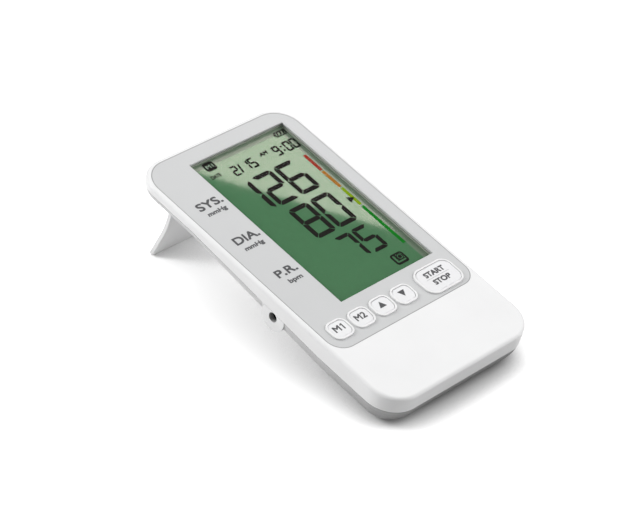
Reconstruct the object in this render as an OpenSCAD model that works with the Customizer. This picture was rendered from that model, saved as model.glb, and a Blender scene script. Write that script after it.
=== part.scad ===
// Upper-arm blood pressure monitor: the tabletop unit with keys, a tall display,
// an air socket for the cuff and a fold-out rear stand.
//
// Every piece is drawn in the device frame: x across the face, y up the face from
// the near edge of the grey panel, z out of the face, with z = 0 on the face.
// on_table() then leans the device back on its stand, with the table at z = 0.

/* [Case] */
// Width of the case across the face
case_w = 88.3; // [86:0.1:96]
// Length of the case along the face
case_l = 161.95; // [160:0.05:170]
// Radius of the case corners, seen from the front
corner_r = 14; // [10:0.5:16]
// Radius of the fillet between the face and the sides
edge_r = 1.5; // [0.8:0.1:1.8]
// Wall thickness of the front cover's sides
cover_wall = 2; // [1.8:0.1:2.4]
// Thickness of the front cover behind the face
face_t = 2.4; // [2.4:0.1:2.6]
// Depth of the parting line at the near end
near_wall_h = 8.3; // [7.6:0.1:9]
// Depth of the parting line at the far end
far_wall_h = 3.5; // [3.2:0.1:3.8]
// Angle that the face leans back on the table
tilt = 17.12; // [12:0.01:20]

/* [Rear shell] */
// Depth of the near, thick part of the case
near_depth = 19.5; // [19.3:0.1:22]
// Depth of the far, thin part of the case
far_depth = 8.6; // [8.5:0.1:9.2]
// Where the deep part ends and the underside starts to rise
deep_end = 5; // [2:0.5:8]
// Length of the thin far part, where the underside is level again
thin_l = 39.45; // [35:0.05:43]
// How far the rear shell's sides stand inside the cover's
shell_inset = 0.25; // [0.1:0.05:0.4]
// Wall thickness of the rear shell
shell_wall = 1.8; // [1.5:0.1:1.9]
// Height of the locating lip inside the seam
lip_h = 0.9; // [0.5:0.1:0.9]

/* [Panel and display] */
// Width of the white rim beside and beyond the panel
rim = 2.15; // [2:0.05:3]
// Length of the white area in front of the panel
near_l = 34.5; // [33:0.1:36]
// Thickness of the grey panel
panel_t = 1; // [0.8:0.1:1.1]
// Radius of the panel's far corners
panel_far_r = 12; // [8:0.5:13]
// Radius of the panel's near corners
panel_near_r = 8; // [5:0.5:10]
// Width of the panel's lettered strip, left of the display opening
left_strip = 21.68; // [21:0.02:24]
// Width of the panel right of the display opening
right_strip = 6.76; // [6.5:0.02:8]
// Length of the panel beyond the display opening
far_strip = 8; // [7.5:0.05:10]
// Distance from the panel's near edge to the display opening
window_y = 21.22; // [21:0.02:22.5]
// Thickness of the clear window
lens_t = 0.8; // [0.6:0.1:0.9]
// Thickness of one of the display's two glass plates
glass_t = 0.95; // [0.7:0.05:0.95]

/* [Keys] */
// Distance from the panel's side to the first key's collar
key_margin = 4; // [3.5:0.05:6]
// Distance from the start key's collar to the panel's other side
start_margin = 4.35; // [4:0.05:6]
// Space between the collars of the small keys
key_space = 1.38; // [1.2:0.02:3]
// Space between the collars of the last small key and the start key
start_space = 4.31; // [3:0.01:6]
// How many times wider the start key's collar is than a small one's
start_share = 1.947; // [1.6:0.001:2.2]
// Length of a small key's raised collar
small_l = 10.3; // [9:0.1:11.5]
// Corner radius of a small key's collar
small_r = 3.7; // [2.5:0.1:4.5]
// Distance from the panel's near edge to the middle of the small keys
key_row_y = 9.75; // [9:0.05:10]
// Length of the start key's raised collar
start_l = 15.2; // [13:0.1:15.4]
// Corner radius of the start key's collar
start_r = 5.2; // [4:0.1:6.5]
// Distance from the panel's near edge to the middle of the start key
start_y = 9.35; // [9:0.05:9.6]
// Width of a collar's rim
collar_rim = 0.9; // [0.7:0.05:1.1]
// Height of a collar above the panel
collar_h = 0.8; // [0.4:0.05:1]
// Height of a key's top above the panel
key_h = 0.62; // [0.55:0.02:0.9]
// Travel of a key
key_travel = 0.45; // [0.3:0.05:0.5]

/* [Stand] */
// Width of the stand
stand_w = 33.5; // [28:0.5:36]
// Thickness of the stand's plate
stand_t = 1.9; // [1.6:0.1:2.1]
// Length of the stand's straight part, from the hinge
stand_straight = 31; // [28:0.5:33]
// Radius of the stand's bend
stand_bend_r = 62; // [50:1:75]
// Angle of the stand's bend
stand_bend = 14.3; // [10:0.1:16]
// Radius of the corners at the stand's foot
stand_corner_r = 2.5; // [1:0.5:4]
// Radius of the hinge pin
pin_r = 0.6; // [0.5:0.05:0.7]

/* [Air system] */
// Radius of the cuff plug's bore
socket_r = 2.3; // [2:0.05:2.4]
// Radius of the boss round the air socket
socket_boss_r = 6.6; // [6.4:0.1:7]
// Distance from the panel's near edge to the air socket, as a share of the panel's length
socket_share = 0.2833; // [0.28:0.0001:0.3]
// Depth of the air socket's axis below the face
socket_z = 9.1; // [9:0.05:9.3]
// Wall of the boss in front of the black socket
socket_wall = 2.5; // [2:0.1:2.8]
// Radius of the barbs that the air tubes sit on
barb_r = 1.5; // [1.2:0.1:1.6]
// Wall of an air tube
tube_wall = 1; // [0.7:0.1:1]
// Radius of the air tubes' bends
tube_bend_r = 4.5; // [4:0.1:4.6]
// Radius of the air pump, as a share of the room beside the batteries
pump_share = 0.34; // [0.3:0.01:0.34]

/* [Batteries] */
// Diameter of a battery cell
cell_d = 10.5; // [10:0.1:10.5]
// Length of a battery cell with its terminal
cell_l = 44.5; // [43:0.1:44.6]
// Spacing of the battery cells
cell_pitch = 10.75; // [10.7:0.01:10.8]
// Thickness of the battery door
door_t = 1.6; // [1.2:0.1:1.6]

/* [Board and screws] */
// Thickness of the circuit board
board_t = 1; // [0.8:0.1:1]
// Radius of a case screw's shank
screw_r = 1; // [0.8:0.05:1.2]
// Radius of a case screw's head
screw_head_r = 2; // [1.7:0.1:2.2]
// Radius of the rubber feet
foot_r = 3.4; // [3:0.1:3.6]
// Gap between the shell and the table that the rubber feet keep
foot_gap = 0.55; // [0.4:0.05:0.9]

/* [Fits] */
// Gap at the seam between the two case halves
seam_gap = 0.12; // [0.05:0.01:0.2]
// Gap all round a piece that sits in a pocket
pocket_gap = 0.1; // [0.05:0.01:0.15]
// Gap all round a key
key_gap = 0.16; // [0.1:0.01:0.25]
// Radial gap between the hinge pin and the stand
pin_gap = 0.05; // [0.02:0.01:0.08]
// Gap between the stand and its recess
stand_gap = 0.15; // [0.1:0.01:0.25]
// Gap between stacked inner pieces
stack_gap = 0.05; // [0.02:0.01:0.06]

/* [Hidden] */

$fn = 64;
e = 0.01;         // overlap that joins or clears faces
over = 1;         // how far a cutter runs past what it cuts
big = 300;        // size of a half space

// Case outline
half_w = case_w / 2;
near_y = -near_l;
far_y = case_l - near_l;
ramp_end = far_y - thin_l;
corner_x = half_w - corner_r;
panel_w = case_w - 2 * rim;
panel_l = far_y - rim;
parting_step_y = deep_end + 3;

// Rear shell
shell_r = corner_r - shell_inset;
shell_rise = near_wall_h + 0.2;      // depth where the near rounding starts
near_round = near_depth - shell_rise;
far_round = far_depth - far_wall_h + 0.1;
ramp_y0 = deep_end + shell_r - near_round;  // middle of the rounding where the ramp starts
ramp_y1 = ramp_end + shell_r - far_round;    // middle of the rounding where the ramp ends
ramp_dz = shell_rise - far_depth + far_round;
ramp_angle = atan(ramp_dz / (ramp_y1 - ramp_y0))
    + asin((near_round - far_round) / norm([ramp_y1 - ramp_y0, ramp_dz]));
near_axis_y = near_y + shell_inset + near_round;

// How the device leans on the table
shell_low = near_axis_y * sin(tilt) - shell_rise * cos(tilt) - near_round;
lift = foot_gap - shell_low;

// Stand, in the device frame when it is open
hinge_offset = 0.5;                  // from the hinge axis to the plate's inner face
stand_out = hinge_offset + stand_t;  // from the hinge axis to the plate's outer face
barrel_r = 1.4;
hinge_z = -(far_depth - stand_out + 0.1);
stop_gap = 0.05;
hinge_y = far_y - shell_inset - 1.4 - stop_gap - stand_out;
stand_top = 1.5;                     // height of the stand's root above the hinge axis
root_steps = 6;                      // flats that the stand's root is drawn with
bend_steps = 24;                     // flats that the stand's bend is drawn with
foot_spare = 2 * stand_t;            // how far the foot is drawn past the table before it is cut
bend_end_s = stand_straight + stand_bend_r * sin(stand_bend);
bend_end_t = hinge_offset + stand_bend_r * (1 - cos(stand_bend));
bend_end_height = lift + (hinge_y + bend_end_t) * sin(tilt) + (hinge_z - bend_end_s) * cos(tilt);
foot_angle = stand_bend + tilt;      // lean of the stand's lower part from upright
foot_len = bend_end_height / cos(foot_angle);
bend_end_world_y = (hinge_y + bend_end_t) * cos(tilt) - (hinge_z - bend_end_s) * sin(tilt);
back_reach = bend_end_world_y + stand_t * cos(foot_angle)
    + (bend_end_height + stand_t * sin(foot_angle)) * tan(foot_angle);
front_reach = (near_y + edge_r) * cos(tilt) + edge_r * sin(tilt) - edge_r;
shift_y = -(back_reach + front_reach) / 2;

// Stack behind the panel
panel_chamfer = 0.25;
lens_z = -panel_t;
lens_margin = 2.2;
ledge_margin = 0.5;
glass_z = -face_t - stack_gap;
glass_margin = 1.6;
glass_ledge = 3;
reflector_t = 0.18;
frame_wall = 1;
frame_gap = 0.15;
board_z = -4.6;
board_inset = 3.65;                  // from the case's side to the board's
board_short = 45.45;                 // from the case's far end to the board's
board_x = half_w - board_inset;
board_y0 = 3.2;
board_y1 = far_y - board_short;
chip_size = [12, 12, 1.2];
chip_x = board_x - 26.5;
chip_y = board_y1 - 24;
driver_size = [6, 5, 1];
driver_x = board_x - 20.5;
driver_y = board_y1 - 34;
regulator_size = [5, 5, 1.4];
regulator_x = 4.5 - board_x;
regulator_y = board_y1 - 20;
capacitor_r = 3.2;
capacitor_l = 7;
capacitor_x = board_x - 1.5;
capacitor_y = board_y0 + 18.8;
buzzer_r = 5;
buzzer_h = 2.6;
board_under = board_z - board_t;

window_x0 = left_strip - panel_w / 2;
window_x1 = panel_w / 2 - right_strip;
window_y1 = panel_l - far_strip;
window_w = window_x1 - window_x0;
window_l = window_y1 - window_y;
glass_x0 = window_x0 - glass_margin;
glass_x1 = window_x1 + glass_margin;
glass_y0 = window_y - glass_ledge;
glass_y1 = window_y1 + glass_margin;

// Keys: the four small ones in a row, and the start key
small_w = (panel_w - key_margin - start_margin - 3 * key_space - start_space) / (4 + start_share);
start_w = start_share * small_w;
key_x = [for (k = [0:3]) key_margin - panel_w / 2 + small_w / 2 + k * (small_w + key_space)];
start_x = panel_w / 2 - start_margin - start_w / 2;
flange_t = 0.5;
flange_rim = 0.7;
flange_z = -face_t - stack_gap;
switch_top = flange_z - flange_t - key_travel - stack_gap;
switch_w = 5.2;
plunger_r = 0.9;
plunger_gap = 0.06;
plunger_l = key_travel + 0.55;

// Battery bay
bay_gap = 0.25;
bay_wall = 1.2;
contact_t = 0.4;
spring_l = 4.7;
bay_x = (cell_l + spring_l + 2 * contact_t) / 2;
cell_z = -(near_depth - door_t - 0.85 - cell_d / 2);
cell_y0 = near_axis_y - 1.8;
cell_y = [for (k = [0:3]) cell_y0 + k * cell_pitch];
bay_y1 = cell_y[3] + cell_d / 2 + bay_gap;
bay_top = cell_z + cell_d / 2 + 0.1;
bay_roof = board_under - 0.15;
door_gap = 0.2;
door_x = bay_x - 0.3;
door_y0 = near_y + 5;
foot_x = door_x + door_gap + foot_r + 1.2;
door_y1 = bay_y1 - 0.2;
door_edge_z = (door_y1 - ramp_y0) * tan(ramp_angle) - near_round / cos(ramp_angle) - shell_rise;
door_tab_x = [9.7 - door_x, door_x - 9.7];
tab_w = 6;
tab_l = 2.4;
tab_t = 0.8;
tab_root = 1.1;
tab_lift = shell_wall + 0.25;        // from the door's outer edge to the underside of a tab
grip_r = 0.5;
grip_y = [for (k = [0:4]) door_y0 + 7 + 1.8 * k];

// Screws
case_screw_xy = [[half_w - 9.65, near_y + 12], [half_w - 11.15, far_y - 4.5]];
near_seat_z = -9;
far_seat_z = -5;
seat_t = 1.6;
case_screw_l = 4.4;
screw_head_h = 1.4;
post_r = 3;
far_post_r = 2.55;
screw_gap = 0.15;
board_screw_xy = [for (y = [board_y0 + 19.8, board_y1 - 6]) [7 - board_x, y]];
board_screw_r = 0.8;
board_head_r = 1.6;
board_head_h = 1;
board_boss_r = 2;

// Air system, all on one plane behind the board
socket_y = socket_share * panel_l;
tube_r = barb_r + tube_wall;
barb_l = 3.5;
barb_bore = 0.8;
socket_in = -half_w + socket_wall;
socket_flange_r = 4.8;
socket_body_r = 3.3;
socket_flange_t = 1.1;
socket_end = -half_w + 11.15;
side_room = half_w - shell_inset - shell_wall - bay_x - bay_wall;
deep_room = near_depth - shell_wall + board_under;
pump_r = min(pump_share * side_room, 0.447 * deep_room);
pump_x = -bay_x - bay_wall - pump_r - 0.7;
pump_z = board_under - 0.1 - pump_r;
pump_y0 = near_y + 16;
motor_l = 17.5;
head_l = 13;
head_y = pump_y0 + motor_l;
pump_end = head_y + head_l;
pump_port_x = pump_x + 2.3;
manifold_x0 = pump_port_x + tube_bend_r + barb_l + 0.5;
manifold_x1 = manifold_x0 + 8;
manifold_y1 = socket_y + 3.5;
manifold_y0 = socket_y - 8;
manifold_h = 6;
pump_port_y = socket_y - 5.5;
valve_port_y = socket_y - 2.5;
sensor_port_x = (manifold_x0 + manifold_x1) / 2;
valve_x0 = manifold_x1 + 7.5;
valve_size = [14, 9, 6.6];
sensor_x0 = manifold_x1 + 8;
sensor_size = [9, 9, 5.1];
sensor_port_y = manifold_y1 + barb_l + tube_bend_r + 0.5;

// ---------------------------------------------------------------- placing

// Leans the device frame back and stands it on the table
module on_table() {
    translate([0, shift_y, lift]) rotate([tilt, 0, 0]) children();
}

// ---------------------------------------------------------------- shared shapes

// Rounded rectangle with its own radii at the near and far corners
module plate_2d(x0, x1, y0, y1, near_r, far_r) {
    translate([x0, y0 + near_r]) square([x1 - x0, y1 - y0 - near_r - far_r]);
    translate([x0 + near_r, y0]) square([x1 - x0 - 2 * near_r, near_r + e]);
    translate([x0 + far_r, y1 - far_r - e]) square([x1 - x0 - 2 * far_r, far_r + e]);
    for (x = [x0 + near_r, x1 - near_r]) translate([x, y0 + near_r]) circle(near_r);
    for (x = [x0 + far_r, x1 - far_r]) translate([x, y1 - far_r]) circle(far_r);
}

// Centred rounded rectangle
module round_rect(w, l, r) {
    plate_2d(-w / 2, w / 2, -l / 2, l / 2, r, r);
}

// Outline of the case, drawn in by inset
module case_2d(inset) {
    r = corner_r - inset;
    plate_2d(-half_w + inset, half_w - inset, near_y + inset, far_y - inset, r, r);
}

// Section through a filleted block's side, from its corner axis outwards
module side_2d(r, h, fillet) {
    translate([0, -h]) square([r - fillet, h]);
    translate([0, -h]) square([r, h - fillet]);
    translate([r - fillet, -fillet]) circle(fillet);
}

// Block of a rounded rectangle's shape with a filleted top edge, its top at z = 0
module filleted_block(w, l, h, r, fillet) {
    x = w / 2 - r;
    y = l / 2 - r;
    translate([-x, -y, -h]) cube([2 * x, 2 * y, h]);
    for (corner = [[x, y, 0], [-x, y, 90], [-x, -y, 180], [x, -y, 270]])
        translate([corner[0], corner[1], 0]) rotate([0, 0, corner[2]])
            rotate_extrude(angle = 90) side_2d(r, h, fillet);
    for (side = [0, 180]) rotate([0, 0, side]) {
        translate([x, y, 0]) rotate([90, 0, 0]) linear_extrude(2 * y) side_2d(r, h, fillet);
        translate([-x, y, 0]) rotate([90, 0, 90]) linear_extrude(2 * x) side_2d(r, h, fillet);
    }
}

// Side view of the space above the parting line, moved up by rise
module above_parting(rise = 0) {
    translate([-big / 2, 0, 0]) rotate([90, 0, 90]) linear_extrude(big)
        polygon([
            [near_y - over, rise - near_wall_h],
            [parting_step_y, rise - near_wall_h],
            [ramp_end, rise - far_wall_h],
            [far_y + over, rise - far_wall_h],
            [far_y + over, over + collar_h],
            [near_y - over, over + collar_h]
        ]);
}

// Disc with a rounded lower edge: one corner of the rear shell
module shell_disc(r, top, depth, round_r) {
    rotate_extrude($fn = 48) {
        translate([0, -depth]) square([r - round_r, depth + top]);
        translate([0, round_r - depth]) square([r, depth - round_r + top]);
        translate([r - round_r, round_r - depth]) intersection() {
            circle(round_r, $fn = 40);
            translate([0, -round_r]) square(round_r);
        }
    }
}

// The rear shell's corner discs at one place along the case
module shell_station(y, inset, depth, round_r, top) {
    for (x = [-corner_x, corner_x])
        translate([x, y, 0]) shell_disc(shell_r - inset, top, depth - inset, round_r - inset);
}

// The thick near part and the ramp of the rear shell, drawn in by inset
module near_hull(inset, top) {
    hull() {
        shell_station(near_y + corner_r, inset, near_depth, near_round, top);
        shell_station(deep_end, inset, near_depth, near_round, top);
        shell_station(ramp_end, inset, far_depth, far_round, top);
    }
}

// The thin far part of the rear shell, drawn in by inset
module far_hull(inset, top) {
    hull() {
        shell_station(ramp_end, inset, far_depth, far_round, top);
        shell_station(far_y - corner_r, inset, far_depth, far_round, top);
    }
}

// Ring between two case outlines, between two depths that follow the parting line
module seam_ring(outer, inner, low, high) {
    difference() {
        intersection() {
            translate([0, 0, -near_depth]) linear_extrude(near_depth)
                difference() {
                    case_2d(outer);
                    case_2d(inner);
                }
            above_parting(low);
        }
        above_parting(high);
    }
}

// Round bar along x
module bar_x(r, x0, x1) {
    translate([x0, 0, 0]) rotate([0, 90, 0]) cylinder(r = r, h = x1 - x0);
}

// Round bar along y
module bar_y(r, y0, y1) {
    translate([0, y0, 0]) rotate([-90, 0, 0]) cylinder(r = r, h = y1 - y0);
}

// Barb with an air passage, pointing along +x from the origin
module barb() {
    difference() {
        bar_x(barb_r, -e, barb_l);
        bar_x(barb_bore, -over, barb_l + over);
    }
}

// Straight length of air tube along x
module tube_x(x0, x1) {
    difference() {
        bar_x(tube_r, x0, x1);
        bar_x(barb_r, x0 - over, x1 + over);
    }
}

// Straight length of air tube along y
module tube_y(y0, y1) {
    rotate([0, 0, 90]) tube_x(y0, y1);
}

// Quarter bend of air tube from +y to +x, its inside corner at the origin
module tube_elbow() {
    rotate([0, 0, 90]) rotate_extrude(angle = 90)
        translate([tube_bend_r, 0]) difference() {
            circle(tube_r, $fn = 32);
            circle(barb_r, $fn = 32);
        }
}

// ---------------------------------------------------------------- case

// Raised collar round a key, standing through the panel
module collar(w, l, r) {
    translate([0, 0, collar_h]) filleted_block(w, l, collar_h + panel_t + e, r, 0.3);
}

// Hole for a key, through its collar and the cover
module key_hole(w, l, r) {
    translate([0, 0, -face_t - over]) linear_extrude(face_t + collar_h + 2 * over)
        round_rect(w - 2 * collar_rim, l - 2 * collar_rim, r - collar_rim);
}

// Boss inside the cover for a screw that comes from behind
module cover_boss(r, from) {
    translate([0, 0, from]) cylinder(r = r, h = -from - face_t + e);
}

module front_cover() {
    color("whitesmoke") on_table() difference() {
        union() {
            difference() {
                translate([0, (near_y + far_y) / 2, 0])
                    filleted_block(case_w, case_l, near_wall_h, corner_r, edge_r);
                translate([0, 0, -near_wall_h - over])
                    linear_extrude(near_wall_h + over - face_t) case_2d(cover_wall);
                translate([0, 0, -panel_t]) linear_extrude(over + panel_t)
                    plate_2d(-panel_w / 2 - pocket_gap, panel_w / 2 + pocket_gap,
                        -pocket_gap, panel_l + pocket_gap,
                        panel_near_r + pocket_gap, panel_far_r + pocket_gap);
                below_seam();
            }
            for (x = key_x) translate([x, key_row_y, 0]) collar(small_w, small_l, small_r);
            translate([start_x, start_y, 0]) collar(start_w, start_l, start_r);
            for (side = [-1, 1]) {
                translate([side * case_screw_xy[0][0], case_screw_xy[0][1], 0])
                    cover_boss(post_r, near_seat_z);
                translate([side * case_screw_xy[1][0], case_screw_xy[1][1], 0])
                    cover_boss(far_post_r, far_seat_z);
            }
            for (at = board_screw_xy) translate([at[0], at[1], 0])
                cover_boss(board_boss_r, board_z + stack_gap);
        }
        for (x = key_x) translate([x, key_row_y, 0]) key_hole(small_w, small_l, small_r);
        translate([start_x, start_y, 0]) key_hole(start_w, start_l, start_r);
        translate([0, 0, lens_z - lens_t - stack_gap]) linear_extrude(lens_t + stack_gap + over)
            plate_2d(window_x0 - lens_margin, window_x1 + lens_margin,
                window_y - lens_margin, window_y1 + lens_margin, 1, 1);
        translate([window_x0 - ledge_margin, window_y - ledge_margin, -face_t - over])
            cube([window_w + 2 * ledge_margin, window_l + 2 * ledge_margin, face_t + 2 * over]);
        for (side = [-1, 1]) {
            translate([side * case_screw_xy[0][0], case_screw_xy[0][1], near_seat_z - over])
                cylinder(r = screw_r, h = over + case_screw_l - seat_t + 0.2);
            translate([side * case_screw_xy[1][0], case_screw_xy[1][1], far_seat_z - over])
                cylinder(r = screw_r, h = over + case_screw_l - seat_t + 0.2);
        }
        for (at = board_screw_xy) translate([at[0], at[1], board_z - over])
            cylinder(r = board_screw_r, h = over + 1.7);
    }
}

// The space below the parting line, which the cover doesn't reach
module below_seam() {
    difference() {
        translate([-big / 2, -big / 2, -near_depth]) cube([big, big, near_depth + over]);
        above_parting();
    }
}

// Top edge of the seam on the rear shell's side
module rear_seam_cut() {
    above_parting(-seam_gap);
}

// Points along the stand's inner face, moved outwards by t, in the open stand's side
// view: hinge axis at the origin, x outwards and y down
function stand_line(t) = concat(
    [[hinge_offset + t, 0]],
    [for (k = [0:bend_steps]) let(a = stand_bend * k / bend_steps)
        [hinge_offset + stand_bend_r - (stand_bend_r - t) * cos(a),
            stand_straight + (stand_bend_r - t) * sin(a)]],
    [[bend_end_t + t * cos(stand_bend) + (foot_len + foot_spare) * sin(stand_bend),
        bend_end_s - t * sin(stand_bend) + (foot_len + foot_spare) * cos(stand_bend)]]);

// Side view of the folded stand's recess, cut through the underside
module recess_2d() {
    top = [for (p = stand_line(-stand_gap)) [hinge_y - p.y, hinge_z - p.x]];
    inner = top[0].y;
    end_y = hinge_y + stand_out + stop_gap;
    polygon(concat(top, [[top[len(top) - 1].x, -near_depth - over],
        [end_y, -near_depth - over], [end_y, inner]]));
    // room for the root that turns at the hinge
    pocket_y = hinge_y - stand_top - stand_gap;
    translate([pocket_y, inner - over])
        square([end_y - pocket_y, hinge_z + stand_top + stand_gap - inner + over]);
}

// Wall of the stand's recess, seen from the side
module recess_wall_2d() {
    wall = 1.2;
    translate([0, wall]) recess_2d();
    translate([hinge_y - stand_top - stand_gap - wall, -near_depth])
        square([far_y - hinge_y + stand_top, near_depth + hinge_z + stand_top + stand_gap + wall]);
}

// Post with a flat seat for a case screw's head
module rear_post(r, seat) {
    translate([0, 0, -near_depth]) cylinder(r = r, h = near_depth + seat - stack_gap);
}

// Everything inside the rear shell that stands on its floor
module rear_inside() {
    recess_x = stand_w / 2 + stand_gap;
    // battery bay
    difference() {
        translate([-bay_x - bay_wall, near_y, -near_depth])
            cube([2 * (bay_x + bay_wall), bay_y1 + bay_wall - near_y, near_depth + bay_roof]);
        translate([-bay_x, near_y, -near_depth - over])
            cube([2 * bay_x, bay_y1 - near_y, near_depth + over + bay_top]);
    }
    // stand recess
    translate([-recess_x - 1.4, 0, 0]) rotate([90, 0, 90])
        linear_extrude(2 * recess_x + 2.8) recess_wall_2d();
    translate([-recess_x - 3.2, hinge_y - 3, -near_depth])
        cube([2 * recess_x + 6.4, far_y - hinge_y + 1, near_depth + hinge_z + 2]);
    // screw posts
    for (side = [-1, 1]) {
        translate([side * case_screw_xy[0][0], case_screw_xy[0][1], 0]) rear_post(post_r, near_seat_z);
        translate([side * case_screw_xy[1][0], case_screw_xy[1][1], 0]) rear_post(far_post_r, far_seat_z);
    }
    // cradles of the pump, the manifold and the valve
    for (y = [pump_y0 + 4, head_y + 5]) difference() {
        translate([-half_w, y, -near_depth]) cube([half_w - bay_x, 1.6, near_depth + pump_z]);
        translate([pump_x, 0, pump_z]) bar_y(pump_r + stack_gap, y - over, y + 1.6 + over);
    }
    translate([manifold_x0 + 1, socket_y - 5, -near_depth])
        cube([manifold_x1 - manifold_x0 - 2, 1.6, near_depth - socket_z - manifold_h / 2 - stack_gap]);
    translate([valve_x0 + 2, valve_port_y - 1, -near_depth])
        cube([valve_size[0] - 4, 1.6, near_depth - socket_z - valve_size[2] / 2 - stack_gap]);
    // ribs that carry the board
    for (x = [2.5 - board_x, board_x - 10.5]) translate([x, board_y1 - 26, -near_depth])
        cube([6, 1.4, near_depth + board_under - stack_gap]);
}

module rear_cover() {
    recess_x = stand_w / 2 + stand_gap;
    color("gainsboro") on_table() difference() {
        union() {
            difference() {
                union() {
                    near_hull(0, 0);
                    far_hull(0, 0);
                }
                difference() {
                    union() {
                        near_hull(shell_wall, over);
                        far_hull(shell_wall, over);
                    }
                    rear_inside();
                }
                rear_seam_cut();
            }
            seam_ring(shell_inset + 0.4, cover_wall + 1.15, -2, -seam_gap);
            seam_ring(cover_wall + 0.15, cover_wall + 1.15, -seam_gap - e, lip_h);
            // boss of the air socket
            difference() {
                translate([0, socket_y, -socket_z]) bar_x(socket_boss_r, -half_w, socket_in + 6);
                translate([0, socket_y, -socket_z])
                    bar_x(socket_boss_r - 1.2, socket_in, socket_in + 6 + over);
                rear_seam_cut();
            }
        }
        // stand recess and hinge pin
        translate([-recess_x, 0, 0]) rotate([90, 0, 90]) linear_extrude(2 * recess_x) recess_2d();
        translate([0, hinge_y, hinge_z]) bar_x(pin_r, -recess_x - 2.4, recess_x + 2.4);
        // battery opening
        translate([-door_x - door_gap, door_y0 - door_gap, -near_depth - over])
            cube([2 * (door_x + door_gap), door_y1 + door_gap - door_y0 + door_gap,
                near_depth + over + cell_z]);
        for (x = door_tab_x) translate([x - tab_w / 2 - 0.3, door_y1 - 1, door_edge_z + shell_wall + 0.1])
            cube([tab_w + 0.6, 1 + tab_l + 0.8, tab_t + 1.6]);
        // cuff plug's way in
        translate([0, socket_y, -socket_z]) bar_x(socket_r, -half_w - over, socket_in + over);
        translate([0, socket_y, -socket_z]) bar_x(socket_flange_r + 0.1, socket_in, socket_in + 4);
        // case screws
        for (side = [-1, 1]) {
            translate([side * case_screw_xy[0][0], case_screw_xy[0][1], 0]) screw_way(near_seat_z);
            translate([side * case_screw_xy[1][0], case_screw_xy[1][1], 0]) screw_way(far_seat_z);
        }
        // room for the cover's screw bosses
        for (side = [-1, 1]) {
            translate([side * case_screw_xy[0][0], case_screw_xy[0][1], near_seat_z - stack_gap])
                cylinder(r = post_r + pocket_gap, h = -near_seat_z);
            translate([side * case_screw_xy[1][0], case_screw_xy[1][1], far_seat_z - stack_gap])
                cylinder(r = far_post_r + pocket_gap, h = -far_seat_z);
        }
        // flats that the rubber feet are glued to
        feet(foot_r + 0.15, 0.6);
    }
}

// Clearance hole and counterbore of a case screw
module screw_way(seat) {
    translate([0, 0, seat - seat_t - over]) cylinder(r = screw_r + screw_gap, h = seat_t + 2 * over);
    translate([0, 0, -near_depth - over])
        cylinder(r = screw_head_r + screw_gap, h = near_depth + over + seat - seat_t);
}

// Upright discs between the table and the shell, as deep as sink into the shell
module feet(r, sink) {
    for (x = [-foot_x, foot_x])
        rotate([-tilt, 0, 0]) translate([x, near_axis_y * cos(tilt) + shell_rise * sin(tilt), -lift])
            cylinder(r = r, h = foot_gap + sink);
}

module rubber_feet() {
    color("dimgray") on_table() feet(foot_r, 0.55);
}

module front_panel() {
    color("lightgray") on_table() difference() {
        translate([0, 0, -panel_t]) linear_extrude(panel_t)
            plate_2d(-panel_w / 2, panel_w / 2, 0, panel_l, panel_near_r, panel_far_r);
        translate([window_x0, window_y, -panel_t - over])
            cube([window_w, window_l, panel_t + 2 * over]);
        // chamfer round the display opening
        translate([window_x0 + window_w / 2, window_y + window_l / 2, -panel_chamfer])
            linear_extrude(2 * panel_chamfer,
                scale = [1 + 4 * panel_chamfer / window_w, 1 + 4 * panel_chamfer / window_l])
                    square([window_w, window_l], center = true);
        for (x = key_x) translate([x, key_row_y, -panel_t - over]) linear_extrude(panel_t + 2 * over)
            round_rect(small_w + 2 * pocket_gap, small_l + 2 * pocket_gap, small_r + pocket_gap);
        translate([start_x, start_y, -panel_t - over]) linear_extrude(panel_t + 2 * over)
            round_rect(start_w + 2 * pocket_gap, start_l + 2 * pocket_gap, start_r + pocket_gap);
    }
}

module display_window() {
    m = lens_margin - pocket_gap;
    color("powderblue", 0.4) on_table() translate([0, 0, lens_z - lens_t]) linear_extrude(lens_t)
        plate_2d(window_x0 - m, window_x1 + m, window_y - m, window_y1 + m, 0.9, 0.9);
}

// ---------------------------------------------------------------- keys and switches

// A key cap with the flange that holds it behind the cover
module key_cap(w, l, r) {
    gap = collar_rim + key_gap;
    cap_h = key_h - flange_z;
    translate([0, 0, key_h])
        filleted_block(w - 2 * gap, l - 2 * gap, cap_h + e, r - gap, 0.3);
    translate([0, 0, flange_z - flange_t]) linear_extrude(flange_t)
        round_rect(w - 2 * gap + 2 * flange_rim, l - 2 * gap + 2 * flange_rim, r - gap + flange_rim);
}

module small_key(k) {
    color("white") on_table() translate([key_x[k], key_row_y, 0])
        key_cap(small_w, small_l, small_r);
}

module start_key() {
    color("white") on_table() translate([start_x, start_y, 0]) key_cap(start_w, start_l, start_r);
}

// The moving pin of a key's switch
module plunger(x, y) {
    color("dimgray") on_table() translate([x, y, flange_z - flange_t - plunger_l])
        cylinder(r = plunger_r, h = plunger_l);
}

// The fixed body of a key's switch, on the board
module switch_body() {
    difference() {
        translate([-switch_w / 2, -switch_w / 2, board_z])
            cube([switch_w, switch_w, switch_top - board_z]);
        translate([0, 0, board_z + 0.04])
            cylinder(r = plunger_r + plunger_gap, h = switch_top - board_z + over);
    }
}

module switch_bodies() {
    color("silver") on_table() {
        for (x = key_x) translate([x, key_row_y, 0]) switch_body();
        translate([start_x, start_y, 0]) switch_body();
    }
}

// ---------------------------------------------------------------- display

module display_glass() {
    color("darkseagreen") on_table() {
        translate([glass_x0, glass_y0, glass_z - glass_t])
            cube([glass_x1 - glass_x0, glass_y1 - glass_y0, glass_t]);
        translate([glass_x0, window_y, glass_z - 2 * glass_t])
            cube([glass_x1 - glass_x0, glass_y1 - window_y, glass_t + e]);
    }
}

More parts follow.
